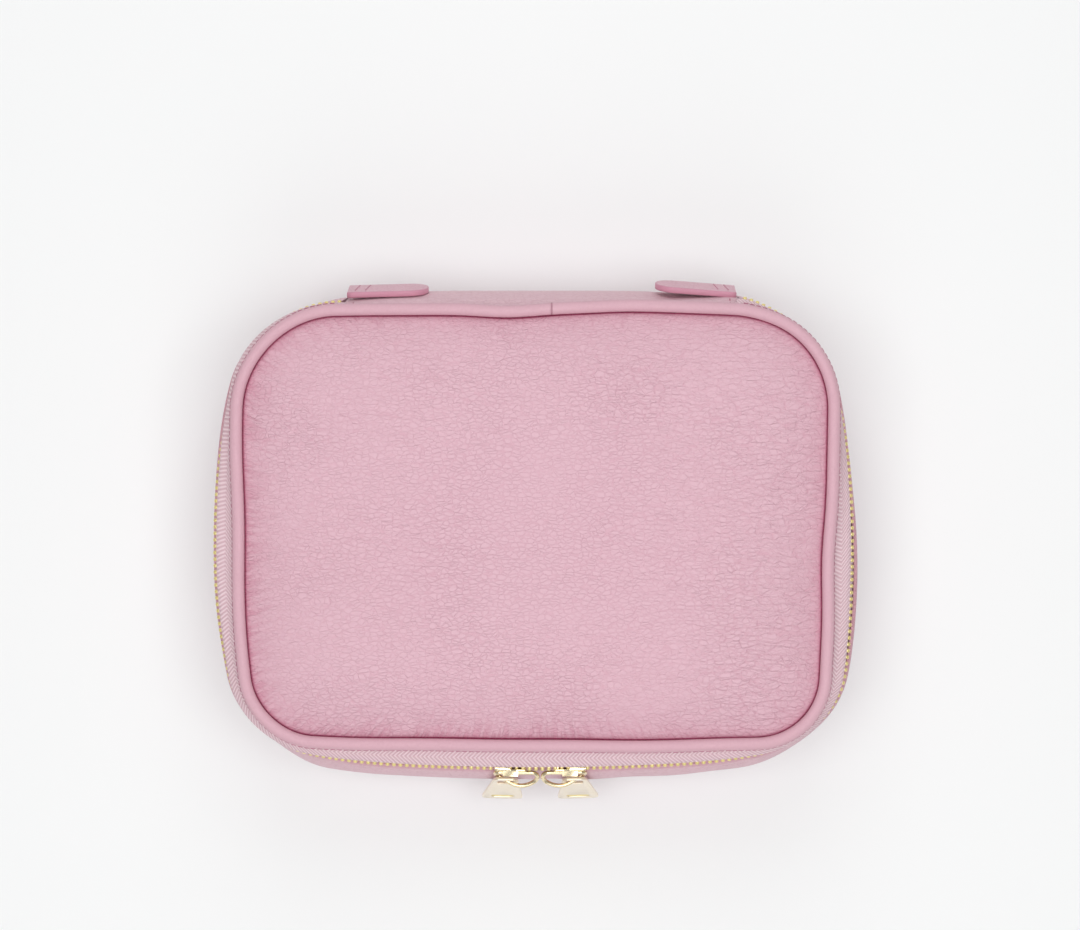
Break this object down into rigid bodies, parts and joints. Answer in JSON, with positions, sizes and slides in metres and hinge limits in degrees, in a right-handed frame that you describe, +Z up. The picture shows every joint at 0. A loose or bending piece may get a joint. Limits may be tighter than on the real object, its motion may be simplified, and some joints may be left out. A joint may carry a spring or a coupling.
{
  "type": "makeup train case",
  "caption": "Zip-around makeup case with a padded lid on a leather spine hinge, piped edges and sliders that run along the front with swinging links and pull tags.",
  "frame": {"origin": "middle of the flat underside, on the table", "axes": "+X to the case's right along its longer side, +Y to the hinged back, -Y to the front with the pulls, +Z up through the lid"},
  "size_m": [0.2504, 0.2048, 0.0707],
  "materials": {
    "pebbled_leather": "pebbled, satin",
    "piping_leather": "smooth, satin",
    "tab_leather": "smooth with painted edges",
    "board": "plain",
    "foam": "soft open foam",
    "lining": "woven",
    "cord": "twisted",
    "zip_tape": "herringbone weave",
    "gilt_metal": "polished gilt",
    "tag_metal": "polished pale gilt"
  },
  "bodies": {
    "base": {"base_panel": "pebbled_leather", "base_board": "board", "floor_lining": "lining", "base_piping": "piping_leather", "base_piping_cord": "cord", "side_gusset": "pebbled_leather", "wall_board": "board", "wall_lining": "lining", "base_zip_tape": "zip_tape", "base_zip_teeth": "gilt_metal", "spine_panel": "pebbled_leather", "left_tab": "tab_leather", "right_tab": "tab_leather"},
    "lid": {"lid_panel": "pebbled_leather", "lid_foam": "foam", "lid_board": "board", "lid_lining": "lining", "lid_piping": "piping_leather", "lid_piping_cord": "cord", "lid_zip_tape": "zip_tape", "lid_zip_teeth": "gilt_metal", "hinge_strip": "pebbled_leather"},
    "left_slider": {"left_slider": "gilt_metal"},
    "left_link": {"left_link": "gilt_metal"},
    "left_tag": {"left_tag": "tag_metal"},
    "right_slider": {"right_slider": "gilt_metal"},
    "right_link": {"right_link": "gilt_metal"},
    "right_tag": {"right_tag": "tag_metal"}
  },
  "joints": [
    {"name": "lid_hinge", "type": "hinge", "parent": "base", "child": "lid", "pos_m": [0, 0.0872, 0.053], "axis": [-1, 0, 0], "range_deg": [0, 105]},
    {"name": "left_slider_run", "type": "hinge", "parent": "base", "child": "left_slider", "pos_m": [0, 0.8692, 0.053], "axis": [0, 0, -1], "range_deg": [0, 3], "deforming": ["lid_zip_teeth", "base_zip_teeth"]},
    {"name": "left_link_swing", "type": "hinge", "parent": "left_slider", "child": "left_link", "pos_m": [-0.00927, -0.09336, 0.053], "axis": [-1, 0.0096, 0], "range_deg": [-3, 110]},
    {"name": "left_tag_swing", "type": "hinge", "parent": "left_link", "child": "left_tag", "pos_m": [-0.01116, -0.09699, 0.0467], "axis": [-0.8541, 0.5201, 0], "range_deg": [-8, 40]},
    {"name": "right_slider_run", "type": "hinge", "parent": "base", "child": "right_slider", "pos_m": [0, 0.8692, 0.053], "axis": [0, 0, 1], "range_deg": [0, 3], "deforming": ["lid_zip_teeth", "base_zip_teeth"]},
    {"name": "right_link_swing", "type": "hinge", "parent": "right_slider", "child": "right_link", "pos_m": [0.01339, -0.09331, 0.053], "axis": [-0.9999, -0.0139, 0], "range_deg": [-3, 110]},
    {"name": "right_tag_swing", "type": "hinge", "parent": "right_link", "child": "right_tag", "pos_m": [0.01528, -0.09694, 0.0467], "axis": [-0.8519, -0.5237, 0], "range_deg": [-8, 40]}
  ]
}
